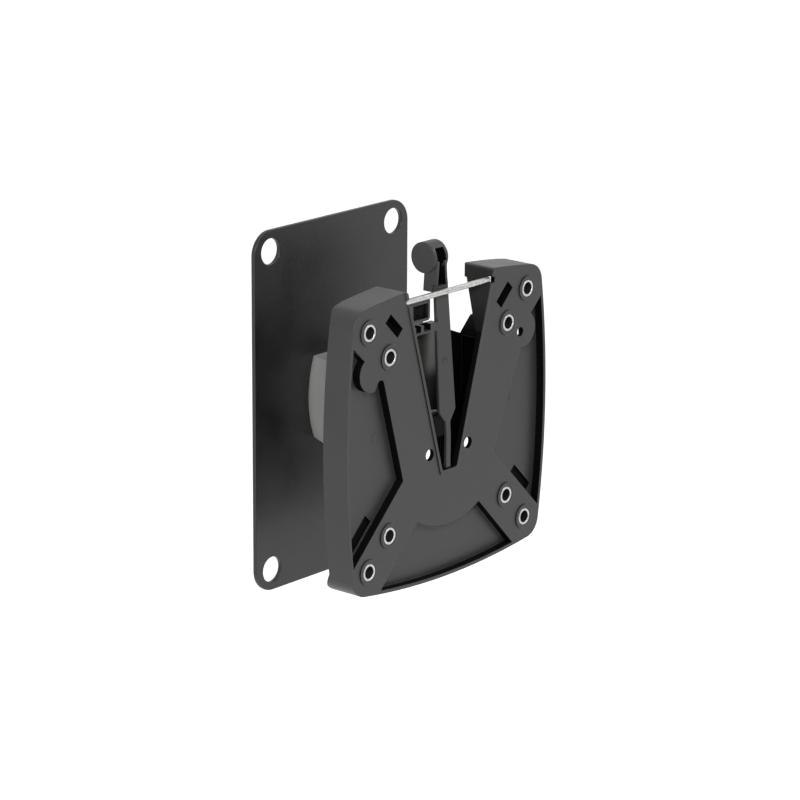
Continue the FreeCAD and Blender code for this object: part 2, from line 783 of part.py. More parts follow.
def side_pocket(sketch, side):
    """The sunk field at one side: a boss at its top, a slanting inner edge and the head's rim outside.
    The left field also has a nick under its boss."""
    nick = [
        ("field_nick_across", "field_nick_up"),
        ("field_nick_inside", "field_nick_low", "field_nick_round", side),
    ]
    corners = [
        ("field_step_across", "field_step_up"),
        ("field_boss_across", "field_boss_up", "field_boss_round", -side),
        *(nick if side < 0 else []),
        ("field_waist", "-field_waist_drop"),
        (rim_inside("field_drop"), "-field_drop"),
        (rim_inside("field_top"), "field_top", "(" + SIDE_ARC + " - head_rim)", side),
    ]
    loop(sketch, [(signed(side, corner[0]),) + corner[1:] for corner in corners])


def low_pocket(sketch):
    """The sunk field at the bottom, under the round middle of the face."""
    inner_up = minus("sqrt(low_disc_radius^2 - low_field_inside^2)")
    rim = minus(rim_inside("low_field_half"))
    loop(sketch, [
        ("low_field_inside", inner_up),
        ("-low_field_inside", inner_up, "low_disc_radius", -1),
        ("-low_field_half", rim),
        ("low_field_half", rim, "(" + SIDE_ARC + " - head_rim)", 1),
    ])


def field_floors(body):
    """Floors behind the sunk fields, a little wider than the fields and run into the head's walls."""
    rim_lap = "(head_wall - floor_rim_lap)"
    rim_arc = "(" + SIDE_ARC + " - " + rim_lap + ")"
    low, high = "(field_drop + floor_lap)", "(field_top + floor_lap)"
    for side, name in ((-1, "left"), (1, "right")):
        floor = sketch_on(body, "floor_" + name, "XZ_Plane", "-head_skin / 2")
        corners = [
            ("field_waist - floor_lap", "-field_waist_drop"),
            (rim_inside(low, rim_lap), minus(low)),
            (rim_inside(high, rim_lap), high, rim_arc, side),
            ("field_nick_inside - floor_lap", "field_nick_low + floor_lap"),
        ]
        loop(floor, [(signed(side, corner[0]),) + corner[1:] for corner in corners])
        pad(body, floor, "pocket_depth + head_skin / 2", Reversed=True)
    floor = sketch_on(body, "floor_low", "XZ_Plane", "-head_skin / 2")
    reach = "(low_field_half + floor_lap)"
    rim = minus(rim_inside(reach, rim_lap))
    level = "(floor_lap - sqrt(low_disc_radius^2 - low_field_inside^2))"
    loop(floor, [("low_field_inside", level), ("-low_field_inside", level), (minus(reach), rim),
                 (reach, rim, rim_arc, 1)])
    pad(body, floor, "pocket_depth + head_skin / 2", Reversed=True)


def lower_sides(body):
    """The walls at the two sides are less deep than those above and below."""
    inside = "(head_corner - head_corner_round)"
    line = [
        ("head_depth + head_skin", "-head_side_low - 2 * head_side_ramp"),
        ("head_depth + head_skin", "head_side_high + 2 * head_side_ramp"),
        ("head_side_depth", "head_side_high"),
        ("head_side_depth", "-head_side_low"),
    ]
    for side, name, offset in ((1, "right", inside), (-1, "left", minus(inside))):
        cut_line = sketch_on(body, "side_back_" + name, "YZ_Plane", offset)
        loop(cut_line, line)
        pocket(body, cut_line, "head_half", Reversed=side > 0)


def notch_outline(sketch, grow, top, floor):
    """The V notch, widened by an amount, from a floor level to a top level."""
    low = half_notch(floor) + " + " + grow
    high = half_notch(top) + " + " + grow
    loop(sketch, [(minus(low), floor), (low, floor), (high, top), (minus(high), top)])


def head_shell(body):
    """The open box of the head: bowed walls round a flat face."""
    outline = sketch_on(body, "outline", "XZ_Plane")
    head_outline(outline, "head_corner")
    pad(body, outline, "head_depth", Reversed=True)
    outer = value("head_corner")
    round_edges(body, "corners", "head_corner_round",
                lambda edge: abs(abs(edge.CenterOfMass.x) - outer) < 0.01
                and abs(abs(edge.CenterOfMass.z) - outer) < 0.01)
    lower_sides(body)

    cavity = sketch_on(body, "cavity", "XZ_Plane", "-head_depth")
    head_outline(cavity, "head_corner - head_wall")
    pocket(body, cavity, "head_depth - head_skin", Reversed=True)
    inner = value("head_corner - head_wall")
    round_edges(body, "inner_corners", "head_inner_round",
                lambda edge: abs(abs(edge.CenterOfMass.x) - inner) < 0.01
                and abs(abs(edge.CenterOfMass.z) - inner) < 0.01)


def notch_walls(body):
    """Walls along the V notch, cut off at a slope behind."""
    walls = sketch_on(body, "notch_walls", "XZ_Plane", "-head_skin / 2")
    wall_top = "head_half - head_wall"
    for side in (-1, 1):
        loop(walls, [(signed(side, half_notch(z) + " + " + grow), z) for z, grow in (
            ("notch_wall_low", "-notch_wall / 2"), ("notch_wall_low", "notch_wall"),
            (wall_top, "notch_wall"), (wall_top, "-notch_wall / 2"))])
    pad(body, walls, "head_depth - head_skin / 2", Reversed=True)
    slope = sketch_on(body, "notch_wall_slope", "YZ_Plane")
    loop(slope, [("head_skin", "notch_slope_front"), ("head_skin", "notch_wall_low - notch_wall"),
                 ("head_depth + head_skin", "notch_wall_low - notch_wall"),
                 ("head_depth + head_skin", "notch_slope_back")])
    pocket(body, slope, "2 * " + half_notch("head_half"), SideType="Symmetric")


def open_notch(body):
    notch = sketch_on(body, "notch", "XZ_Plane", "2 * lip_high")
    notch_outline(notch, "0", "head_half + head_bow", "notch_floor")
    pocket(body, notch, "head_depth + 4 * lip_high")


def outside_rim(sketch):
    """A square well outside the head."""
    far = "(head_half + head_bow)"
    rectangle(sketch, minus(far), minus(far), far, far)


def head_frame():
    """The face with its notch and fields, and the front of the outer walls."""
    body = new_body("head_frame", HEAD_AT)
    head_shell(body)

    bosses = sketch_on(body, "bosses", "XZ_Plane", "lip_high")
    for pattern in ("wide_pattern", "narrow_pattern"):
        for side, level in PATTERN_CORNERS:
            circle(bosses, signed(side, pattern + " / 2"), signed(level, pattern + " / 2"),
                   "eyelet_boss_dia / 2")
    pad(body, bosses, "lip_high + eyelet_length", Reversed=True)

    field_floors(body)

    slot_pans = sketch_on(body, "slot_pans", "XZ_Plane", "-head_skin / 2")
    for side in (-1, 1):
        slanted_slot(slot_pans, "top_slot_across", "top_slot_up", "top_slot_long + 2 * top_slot_wall",
                     "top_slot_wide + 2 * top_slot_wall", side, 1)
    pad(body, slot_pans, "top_slot_deep + top_slot_wall - head_skin / 2", Reversed=True)

    notch_walls(body)

    for name, offset in (("right", "shoe_width / 2 + shoe_gap"),
                         ("left", "-shoe_width / 2 - shoe_gap - guide_rib")):
        rib = sketch_on(body, "guide_rib_" + name, "YZ_Plane", offset)
        loop(rib, [
            ("head_skin / 2", "guide_rib_low"),
            ("shoe_seat - guide_rib_step", "guide_rib_low"),
            ("shoe_seat - guide_rib_step", "guide_rib_shoulder"),
            ("guide_rib_front", "guide_rib_high"),
            ("head_skin / 2", "guide_rib_high"),
        ])
        pad(body, rib, "guide_rib")

    lip = sketch_on(body, "lip", "XZ_Plane", "lip_high")
    notch_outline(lip, "lip_wide", "head_half - lip_wide", "notch_floor - lip_wide")
    pad(body, lip, "lip_high + head_skin / 2", Reversed=True)

    open_notch(body)

    sunk = sketch_on(body, "sunk_fields", "XZ_Plane", "2 * lip_high")
    side_pocket(sunk, -1)
    side_pocket(sunk, 1)
    low_pocket(sunk)
    pocket(body, sunk, "pocket_depth + 2 * lip_high")

    holes = sketch_on(body, "holes", "XZ_Plane", "2 * lip_high")
    for pattern in ("wide_pattern", "narrow_pattern"):
        for side, level in PATTERN_CORNERS:
            circle(holes, signed(side, pattern + " / 2"), signed(level, pattern + " / 2"),
                   "eyelet_dia / 2 + press_gap")
    for side in (-1, 1):
        circle(holes, signed(side, "vent_across"), "-vent_drop", "vent_dia / 2")
    circle(holes, "peg_across", "peg_up", "peg_dia / 2")
    pocket(body, holes, "head_depth + 4 * lip_high")
    relief = sketch_on(body, "peg_relief", "XZ_Plane", "-head_skin")
    circle(relief, "peg_across + peg_relief_aside", "peg_up - peg_relief_drop", "peg_relief_dia / 2")
    pocket(body, relief, "head_depth")
    slots = sketch_on(body, "top_slots", "XZ_Plane", "2 * lip_high")
    for side in (-1, 1):
        slanted_slot(slots, "top_slot_across", "top_slot_up", "top_slot_long", "top_slot_wide", side, 1)
    pocket(body, slots, "top_slot_deep + 2 * lip_high")
    low_slots = sketch_on(body, "low_slots", "XZ_Plane", "2 * lip_high")
    for side in (-1, 1):
        slanted_slot(low_slots, "low_slot_across", "-low_slot_drop", "low_slot_long", "low_slot_wide", side, -1)
    pocket(body, low_slots, "2 * lip_high + pocket_depth + head_skin - low_slot_floor")

    keeper = sketch_on(body, "keeper", "XZ_Plane", "-keeper_depth")
    loop(keeper, [
        (minus(half_notch("keeper_low") + " + notch_wall / 2"), "keeper_low"),
        ("-keeper_inner - keeper_round", "keeper_low"),
        ("-keeper_inner", "keeper_low + keeper_round", "keeper_round", 1),
        ("-keeper_inner", "keeper_high"),
        (minus(half_notch("keeper_high") + " + notch_wall / 2"), "keeper_high"),
    ])
    pad(body, keeper, "keeper_thick", Reversed=True)
    window = sketch_on(body, "keeper_window", "XZ_Plane", "-keeper_depth + lip_high")
    window_right = "(-keeper_inner - keeper_border)"
    rectangle(window, window_right + " - keeper_window", "keeper_low + keeper_border", window_right,
              "keeper_high - keeper_border")
    pocket(body, window, "lip_high + keeper_window_deep")
    slit = sketch_on(body, "keeper_slit", "XZ_Plane", "-keeper_depth + lip_high")
    slit_middle = "(" + window_right + " - keeper_window / 2)"
    rectangle(slit, slit_middle + " - keeper_slit / 2", "keeper_low + 2 * keeper_border",
              slit_middle + " + keeper_slit / 2", "keeper_high - 2 * keeper_border")
    pocket(body, slit, "lip_high + keeper_slit_deep")

    rod_notch = sketch_on(body, "rod_notch", "XZ_Plane", "2 * lip_high")
    rectangle(rod_notch, "-rod_length / 2 - rod_aside - rod_gap", "rod_up - rod_dia / 2 - rod_gap",
              "rod_length / 2 - rod_aside + rod_end_gap", "rod_up + rod_dia / 2 + rod_gap")
    pocket(body, rod_notch, "2 * lip_high + rod_depth + rod_dia / 2 + rod_gap")

    behind = sketch_on(body, "behind_floors", "XZ_Plane", "-rim_from")
    outside_rim(behind)
    head_outline(behind, "head_corner - head_wall - rim_part_inset")
    pocket(body, behind, "head_depth")


def head_rim():
    """The outer walls behind the floors of the sunk fields. They meet the frame's walls face to face."""
    body = new_body("head_rim", HEAD_AT)
    head_shell(body)
    notch_walls(body)
    open_notch(body)
    front = sketch_on(body, "front", "XZ_Plane", "-rim_from")
    outside_rim(front)
    pocket(body, front, "rim_from + 2 * lip_high", Reversed=True)
    middle = sketch_on(body, "middle", "XZ_Plane", "-rim_from + lip_high")
    head_outline(middle, "head_corner - head_wall - rim_part_inset")
    pocket(body, middle, "head_depth")


def eyelets(label, pattern):
    """Four steel bushes pressed into the head's face on a square pattern."""
    bushes = []
    for number, (side, level) in enumerate(PATTERN_CORNERS, start=1):
        at = (signed(side, pattern + " / 2"), "-head_standoff - lip_high",
              "-head_drop + " + signed(level, pattern + " / 2"))
        bushes.append(ring("%s_%d" % (label, number), at, "back", "eyelet_dia", "eyelet_bore",
                           "lip_high + eyelet_length"))
    keep(label, bushes)


def cross_rod():
    at = ("-rod_length / 2 - rod_aside", "-head_standoff + rod_depth", "-head_drop + rod_up")
    keep("cross_rod", [cylinder("cross_rod_bar", at, "right", "rod_dia / 2", "rod_length")])


def release_lever():
    """The sprung tongue: a narrow stem, a blade that leans back, a latch arm and a channel with a knob."""
    body = new_body("release_lever", HEAD_AT)
    root = "(notch_floor + lever_gap)"
    lean = "tan(blade_lean)"
    top_front = "(lever_front + (blade_top - stem_bend) * " + lean + ")"

    section = sketch_on(body, "section", "YZ_Plane")
    loop(section, [
        ("lever_front", root),
        ("lever_front + lever_thick", root),
        ("lever_front + lever_thick", "stem_bend"),
        (top_front + " + lever_thick", "blade_top"),
        (top_front, "blade_top"),
        ("lever_front", "stem_bend"),
    ])
    pad(body, section, "4 * arm_reach", SideType="Symmetric")
    trim = sketch_on(body, "trim", "XZ_Plane", "arm_reach")
    rectangle(trim, "-3 * arm_reach", root + " - arm_reach", "3 * arm_reach", "blade_top + arm_reach")
    loop(trim, [
        ("stem_half", root + " - stem_half"),
        ("stem_half", "stem_top"),
        ("blade_low_half", "blade_low"),
        ("blade_top_half", "blade_top + blade_rise"),
        ("-blade_top_half", "blade_top + blade_rise"),
        ("-blade_low_half", "blade_low"),
        ("-stem_half", "stem_top"),
        ("-stem_half", root + " - stem_half"),
    ])
    pocket(body, trim, "2 * arm_reach")

    arm_front = "(lever_front + (arm_low - stem_bend) * " + lean + ")"
    arm = sketch_on(body, "arm", "XZ_Plane", minus(arm_front))
    rectangle(arm, "-arm_reach", "arm_low", "-blade_top_half", "arm_high")
    pad(body, arm, "arm_thick", Reversed=True)
    arm_pockets = sketch_on(body, "arm_pockets", "XZ_Plane", minus(arm_front) + " + lip_high")
    post_right = "(-arm_pocket_inside - arm_pocket_wide)"
    post_left = "(" + post_right + " - arm_post)"
    rectangle(arm_pockets, post_right, "arm_low + arm_floor", "-arm_pocket_inside", "arm_high + arm_floor")
    rectangle(arm_pockets, post_left + " - arm_outer_pocket_wide", "arm_low + arm_floor", post_left,
              "arm_high + arm_floor")
    pocket(body, arm_pockets, "lip_high + arm_pocket_deep")

    web_front = "(lever_front + (web_low - stem_bend) * " + lean + ")"
    top_half = "(blade_top_half - web_taper)"
    webs = sketch_on(body, "channel", "XZ_Plane", minus(web_front))
    loop(webs, [
        ("-blade_top_half", "web_low"),
        ("blade_top_half", "web_low"),
        (top_half, "knob_up"),
        (minus(top_half), "knob_up"),
    ])
    pad(body, webs, "web_deep", Reversed=True)
    hollow = sketch_on(body, "channel_hollow", "XZ_Plane", "arm_reach")
    loop(hollow, [
        ("-blade_top_half + web_thick", "blade_top - web_lap"),
        ("blade_top_half - web_thick", "blade_top - web_lap"),
        (top_half + " - web_thick", "knob_up"),
        (minus(top_half + " - web_thick"), "knob_up"),
    ])
    pocket(body, hollow, "arm_reach + " + web_front + " + web_deep - web_thick")

    knob = sketch_on(body, "knob", "YZ_Plane")
    circle(knob, "knob_depth", "knob_up", "knob_dia / 2")
    pad(body, knob, "knob_length", SideType="Symmetric")
    knob_slot = sketch_on(body, "knob_slot", "XZ_Plane", "arm_reach")
    rectangle(knob_slot, "-knob_slot_wide / 2", "knob_slot_low", "knob_slot_wide / 2", "knob_slot_high")
    pocket(body, knob_slot, "arm_reach + knob_depth + knob_slot_floor")
    neck = "(" + top_half + " - web_thick)"
    knob_neck = sketch_on(body, "knob_neck", "XZ_Plane", "arm_reach")
    rectangle(knob_neck, minus(neck), "knob_up - knob_dia / 2 - web_thick", neck, "knob_up")
    pocket(body, knob_neck, "arm_reach + knob_depth - web_thick")


wall_plate()
wall_hub()
hub_screws()
tilt_pivot()
tilt_yoke()
swivel_pivot()
swivel_knuckle()
spin_pivot()
release_shoe()
head_frame()
head_rim()
eyelets("vesa_100_eyelets", "wide_pattern")
eyelets("vesa_75_eyelets", "narrow_pattern")
cross_rod()
release_lever()
doc.recompute()

for item in doc.Objects:
    if "Invalid" in item.State or "Error" in item.State:
        raise RuntimeError("%s did not build: %s" % (item.Name, item.State))
for node in nodes:
    if node.Shape.isNull() or not node.Shape.isValid():
        raise RuntimeError("%s has no valid shape" % node.Label)

os.makedirs("parts", exist_ok=True)
for node in nodes:
    node.Shape.exportStep("parts/%s.step" % node.Label)
    print("%-24s %2d solids %10.1f mm3" % (node.Label, len(node.Shape.Solids), node.Shape.Volume))
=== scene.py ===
import json
import math

import bmesh
import bpy
from mathutils import Matrix, Vector


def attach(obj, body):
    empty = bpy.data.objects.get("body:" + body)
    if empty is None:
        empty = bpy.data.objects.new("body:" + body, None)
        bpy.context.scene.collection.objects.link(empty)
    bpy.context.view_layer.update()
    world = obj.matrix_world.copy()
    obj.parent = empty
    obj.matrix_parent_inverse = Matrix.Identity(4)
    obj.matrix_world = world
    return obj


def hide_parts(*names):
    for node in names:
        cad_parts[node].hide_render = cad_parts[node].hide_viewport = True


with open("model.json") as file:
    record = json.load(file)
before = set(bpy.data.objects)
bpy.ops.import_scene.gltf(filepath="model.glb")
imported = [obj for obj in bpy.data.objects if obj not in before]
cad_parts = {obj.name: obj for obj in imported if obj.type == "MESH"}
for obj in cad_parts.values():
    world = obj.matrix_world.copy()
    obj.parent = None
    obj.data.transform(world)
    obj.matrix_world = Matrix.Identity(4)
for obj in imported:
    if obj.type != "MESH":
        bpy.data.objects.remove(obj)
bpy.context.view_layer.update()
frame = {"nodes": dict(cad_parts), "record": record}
NODES = frame["nodes"]
MM = 0.001

# Places on the head: across is X, up is from the head's middle, depth is from its front
HEAD_FRONT = -66.0 * MM
HEAD_MIDDLE = -2.5 * MM

# The lever's channel, knob and latch arm
CHANNEL_FROM = 58.5 * MM
CHANNEL_HALF = 2.75 * MM
CHANNEL_FRONT = 5.6 * MM
KNOB_DEPTH = 11.2 * MM
KNOB_UP = 70.8 * MM
KNOB_INSIDE = 6.1 * MM
ARM_LEFT = -18.0 * MM
ARM_RIGHT = -8.0 * MM
ARM_LOW = 41.8 * MM
ARM_HIGH = 45.2 * MM
ARM_POCKET_FROM = 5.0 * MM

# Corner rounds on the blocks beside the notch and on the notch's floor
BLOCK_CORNER_ACROSS = 27.09 * MM
BLOCK_CORNER_UP = 62.69 * MM
BLOCK_ROUND = 1.6 * MM
BLOCK_MARGIN = 2.0 * MM
BLOCK_DEPTHS = (-2.0 * MM, 17.3 * MM)
BLOCK_TOP_FALL = 0.08
NOTCH_LEAN = 0.2824
NOTCH_FLOOR_HALF = 4.5 * MM
NOTCH_FLOOR_UP = -17.3 * MM
FLOOR_ROUND = 1.4 * MM
FLOOR_MARGIN = 0.8 * MM
FLOOR_DEPTHS = (-0.48 * MM, 1.98 * MM)
ROUND_STEPS = 6

# Limits of the painted shade on the head
KEEPER_LEFT = -21.0 * MM
KEEPER_RIGHT = -9.6 * MM
KEEPER_LOW = 48.0 * MM
KEEPER_HIGH = 54.6 * MM
RIM_FROM = 56.0 * MM
SLOT_DEPTH = 4.0 * MM
NOTCH_HALF = 27.0 * MM
NOTCH_LOW = -24.0 * MM
NOTCH_DARK_UP = 37.0 * MM
BACK_FROM = 6.0 * MM
FACING = 0.5

# Where the painted shade in the notch begins and ends, along X and Z
SHOE_SHADE_RIGHT = (1.5 * MM, 5.0 * MM)
SHOE_SHADE_LOW = (24.0 * MM, 16.0 * MM)
WALL_SHADE_LOW = (50.0 * MM, 35.0 * MM)
NO_SHADE = (1.0, 2.0)

# Grain and soft edges of the finishes
NOISE_LOW = 0.3
NOISE_HIGH = 0.7
PIT_SHARE = 0.35
CLOUD_SHARE = 0.65
PIT_DEPTH = 0.1 * MM
HEAD_EDGE = 0.45 * MM
HUB_EDGE = 0.8 * MM
EDGE_SAMPLES = 6
WHITE = (1.0, 1.0, 1.0, 1.0)

# Mesh work
MERGE_DISTANCE = 2e-6
FLAT_ANGLE = math.radians(0.2)
DISSOLVE_ANGLE = math.radians(0.4)
SHARP_ANGLE = math.radians(28.0)
EDGE_SEGMENTS = 2
UPRIGHT = (math.radians(90.0), 0.0, 0.0)


# Building blocks for objects and node trees

def add_object(name, data):
    """Put a new object into the scene."""
    added = bpy.data.objects.new(name, data)
    bpy.context.scene.collection.objects.link(added)
    return added


def add_node(tree, kind, at, **settings):
    """Put a new node at a place in its tree."""
    node = tree.nodes.new(kind)
    node.location = at
    for key, setting in settings.items():
        setattr(node, key, setting)
    return node


def set_inputs(tree, node, inputs):
    """Give a node's inputs their values, or link them to sockets."""
    for label, item in inputs.items():
        if isinstance(item, bpy.types.NodeSocket):
            tree.links.new(item, node.inputs[label])
        else:
            node.inputs[label].default_value = item


def feed(tree, kind, at, inputs, output, **settings):
    """Add a node with its inputs and return one of its outputs."""
    node = add_node(tree, kind, at, **settings)
    set_inputs(tree, node, inputs)
    return node.outputs[output]


def arithmetic(tree, operation, at, *items):
    """The result of a math node on numbers or sockets."""
    return feed(tree, "ShaderNodeMath", at, dict(enumerate(items)), 0, operation=operation)


def axes(tree, vector, at):
    """The X, Y and Z sockets of a vector."""
    split = add_node(tree, "ShaderNodeSeparateXYZ", at)
    set_inputs(tree, split, {"Vector": vector})
    return split.outputs


def new_group(name, kind, inputs, outputs):
    """A node group with named sockets; inputs give their default values."""
    group = bpy.data.node_groups.new(name, kind)
    for label, default in inputs.items():
        sort = "NodeSocketColor" if isinstance(default, tuple) else "NodeSocketFloat"
        socket = group.interface.new_socket(label, in_out="INPUT", socket_type=sort)
        socket.default_value = default
    for label, sort in outputs.items():
        group.interface.new_socket(label, in_out="OUTPUT", socket_type=sort)
    start = add_node(group, "NodeGroupInput", (-1200, 0))
    end = add_node(group, "NodeGroupOutput", (1400, 0))
    return group, start.outputs, end


# Finishes

def noise_mask(tree, vector, scale, level, detail, roughness):
    """Noise on given coordinates, stretched to the range 0 to 1."""
    noise = feed(tree, "ShaderNodeTexNoise", (-600, level), {
        "Vector": vector, "Scale": scale, "Detail": detail, "Roughness": roughness}, "Fac")
    return feed(tree, "ShaderNodeMapRange", (-350, level), {
        "Value": noise, "From Min": NOISE_LOW, "From Max": NOISE_HIGH}, "Result")


def moulded_grain_group():
    """Grain of moulded plastic or powder coat: fine pits with slow changes over the surface."""
    group, start, end = new_group(
        "moulded_grain", "ShaderNodeTree",
        {"Pit Scale": 2200.0, "Cloud Scale": 45.0, "Dark": (0.02, 0.02, 0.02, 1.0),
         "Light": (0.04, 0.04, 0.04, 1.0), "Rough Low": 0.4, "Rough High": 0.55},
        {"Color": "NodeSocketColor", "Roughness": "NodeSocketFloat", "Height": "NodeSocketFloat"})
    place = feed(group, "ShaderNodeTexCoord", (-900, -300), {}, "Object")
    pit_mask = noise_mask(group, place, start["Pit Scale"], 100, 2.0, 0.5)
    cloud_mask = noise_mask(group, place, start["Cloud Scale"], -200, 4.0, 0.6)
    soft = arithmetic(group, "MULTIPLY", (-150, -200), cloud_mask, CLOUD_SHARE)
    blend = arithmetic(group, "MULTIPLY_ADD", (-150, 0), pit_mask, PIT_SHARE, soft)
    colour = feed(group, "ShaderNodeMix", (150, 100), {
        "Factor": blend, "A": start["Dark"], "B": start["Light"]}, "Result", data_type="RGBA")
    rough = feed(group, "ShaderNodeMix", (150, -150), {
        "Factor": cloud_mask, "A": start["Rough Low"], "B": start["Rough High"]}, "Result")
    set_inputs(group, end, {"Color": colour, "Roughness": rough, "Height": pit_mask})
    return group


def deep_shade_group():
    """Painted shade: darkening towards the right and the low end of a piece that lies deep in the notch."""
    group, start, end = new_group(
        "deep_shade", "ShaderNodeTree",
        {"Color": (0.05, 0.05, 0.05, 1.0), "Deep Color": (0.004, 0.004, 0.004, 1.0),
         "Right From": SHOE_SHADE_RIGHT[0], "Right To": SHOE_SHADE_RIGHT[1],
         "Low From": SHOE_SHADE_LOW[0], "Low To": SHOE_SHADE_LOW[1]},
        {"Color": "NodeSocketColor"})
    place = feed(group, "ShaderNodeTexCoord", (-900, -400), {}, "Object")
    split = axes(group, place, (-700, -400))
    masks = []
    for axis, side, level in (("X", "Right", -200), ("Z", "Low", -500)):
        masks.append(feed(group, "ShaderNodeMapRange", (-450, level), {
            "Value": split[axis], "From Min": start[side + " From"], "From Max": start[side + " To"]},
            "Result", interpolation_type="SMOOTHSTEP"))
    deepest = arithmetic(group, "MAXIMUM", (-150, -300), *masks)
    colour = feed(group, "ShaderNodeMix", (150, 0), {
        "Factor": deepest, "A": start["Color"], "B": start["Deep Color"]}, "Result", data_type="RGBA")
    set_inputs(group, end, {"Color": colour})
    return group


GRAIN = moulded_grain_group()
DEEP_SHADE = deep_shade_group()


def new_material(name):
    """A material with a plain shader."""
    material = bpy.data.materials.new(name)
    material.use_nodes = True
    tree = material.node_tree
    tree.nodes.clear()
    shader = add_node(tree, "ShaderNodeBsdfPrincipled", (300, 0))
    output = add_node(tree, "ShaderNodeOutputMaterial", (600, 0))
    set_inputs(tree, output, {"Surface": shader.outputs["BSDF"]})
    return material, tree, shader


def grained(name, dark, light, rough, pit_scale, bump, specular=0.5, metallic=0.0, cloud_scale=45.0, edge=0.0):
    """A grained material. Given an edge radius, it also softens the look of sharp edges."""
    material, tree, shader = new_material(name)
    grain = add_node(tree, "ShaderNodeGroup", (-300, 0), node_tree=GRAIN)
    set_inputs(tree, grain, {
        "Pit Scale": pit_scale, "Cloud Scale": cloud_scale, "Dark": (*dark, 1.0), "Light": (*light, 1.0),
        "Rough Low": rough[0], "Rough High": rough[1]})
    dents = add_node(tree, "ShaderNodeBump", (0, -250))
    set_inputs(tree, dents, {"Strength": bump, "Distance": PIT_DEPTH, "Height": grain.outputs["Height"]})
    if edge:
        soft_edge = feed(tree, "ShaderNodeBevel", (-300, -450), {"Radius": edge}, "Normal", samples=EDGE_SAMPLES)
        set_inputs(tree, dents, {"Normal": soft_edge})
    set_inputs(tree, shader, {
        "Base Color": grain.outputs["Color"], "Roughness": grain.outputs["Roughness"],
        "Normal": dents.outputs["Normal"], "Specular IOR Level": specular, "Metallic": metallic})
    return material


def shade_deep_parts(material, right, low):
    """Put the notch's painted shade between a material's grain and its shader, from light to dark along X and Z.
    """
    tree = material.node_tree
    base = next(link for link in tree.links if link.to_socket.name == "Base Color")
    source, target = base.from_socket, base.to_socket
    shaded = feed(tree, "ShaderNodeGroup", (0, 100), {
        "Color": source, "Right From": right[0], "Right To": right[1], "Low From": low[0], "Low To": low[1]},
        "Color", node_tree=DEEP_SHADE)
    tree.links.new(shaded, target)


plate_coat = grained(
    "plate_powder_coat", dark=(0.003, 0.003, 0.0031), light=(0.008, 0.008, 0.0082),
    rough=(0.3, 0.42), pit_scale=1500.0, bump=0.3)
yoke_coat = grained(
    "yoke_powder_coat", dark=(0.01, 0.01, 0.01), light=(0.02, 0.02, 0.02),
    rough=(0.4, 0.5), pit_scale=1800.0, bump=0.25, specular=0.4)
head_plastic = grained(
    "head_plastic", dark=(0.028, 0.027, 0.0265), light=(0.039, 0.0376, 0.037),
    rough=(0.34, 0.44), pit_scale=2600.0, bump=0.2, specular=0.38, edge=HEAD_EDGE)
hub_alloy = grained(
    "hub_alloy", dark=(0.54, 0.54, 0.53), light=(0.64, 0.64, 0.63),
    rough=(0.4, 0.5), pit_scale=1500.0, bump=0.25, metallic=0.3, edge=HUB_EDGE)
zinc_steel = grained(
    "zinc_steel", dark=(0.34, 0.34, 0.33), light=(0.62, 0.62, 0.61),
    rough=(0.24, 0.42), pit_scale=900.0, bump=0.35, metallic=1.0, cloud_scale=600.0)
black_steel = grained(
    "blackened_steel", dark=(0.004, 0.004, 0.004), light=(0.008, 0.008, 0.008),
    rough=(0.4, 0.55), pit_scale=1200.0, bump=0.2, specular=0.12, cloud_scale=90.0)
# The shoe's own black coat, with painted shade added to it below
shoe_coat = grained(
    "shoe_black_coat_painted_shade", dark=(0.085, 0.084, 0.08), light=(0.12, 0.118, 0.112),
    rough=(0.26, 0.36), pit_scale=1600.0, bump=0.15, specular=0.45, metallic=0.8)
# Painted shade for the inside of the bushes' bores
bore_shadow = grained(
    "bush_bore_painted_shade", dark=(0.006, 0.006, 0.006), light=(0.012, 0.012, 0.012),
    rough=(0.6, 0.75), pit_scale=1400.0, bump=0.3, specular=0.2)
# Near-black painted shade for recess walls, slots and pockets
recess_painted_shade = grained(
    "head_painted_shade", dark=(0.002, 0.002, 0.002), light=(0.004, 0.004, 0.004),
    rough=(0.6, 0.75), pit_scale=2600.0, bump=0.2, specular=0.05)
# Darker plastic with painted shade that fades to near black down the notch walls
notch_wall_painted_shade = grained(
    "notch_wall_painted_shade", dark=(0.02, 0.0195, 0.019), light=(0.028, 0.027, 0.0265),
    rough=(0.4, 0.5), pit_scale=2600.0, bump=0.2, specular=0.15, edge=HEAD_EDGE)
friction_plastic = grained(
    "friction_plastic", dark=(0.2, 0.2, 0.19), light=(0.28, 0.28, 0.27),
    rough=(0.5, 0.65), pit_scale=1800.0, bump=0.2)
# Painted shade on the shoe to the right of the lever and low in the notch
shade_deep_parts(shoe_coat, SHOE_SHADE_RIGHT, SHOE_SHADE_LOW)
# Painted shade down the notch walls
shade_deep_parts(notch_wall_painted_shade, NO_SHADE, WALL_SHADE_LOW)

FINISH = {
    "plate_coat": plate_coat,
    "yoke_coat": yoke_coat,
    "hub_alloy": hub_alloy,
    "zinc_steel": zinc_steel,
    "shoe_coat": shoe_coat,
    "black_steel": black_steel,
    "friction_plastic": friction_plastic,
    "head_plastic": head_plastic,
}
SLOT_OF = {row["node"]: row["material_slot"] for row in frame["record"]["subparts"]}
BODY_OF = {node: body for body, members in frame["record"]["behaviour"]["bodies"].items() for node in members}


# Dressed copies of the CAD pieces

def open_mesh(mesh):
    """Open a mesh for editing."""
    work = bmesh.new()
    work.from_mesh(mesh)
    return work


def close_mesh(work, mesh):
    """Write an edited mesh back."""
    work.to_mesh(mesh)
    work.free()


def merged_copy(node):
    """A copy of a CAD node as a closed, smooth-shaded mesh."""
    mesh = NODES[node].data.copy()
    work = open_mesh(mesh)
    bmesh.ops.remove_doubles(work, verts=work.verts, dist=MERGE_DISTANCE)
    for face in work.faces:
        face.smooth = True
    close_mesh(work, mesh)
    return add_object(node + "_finish", mesh)


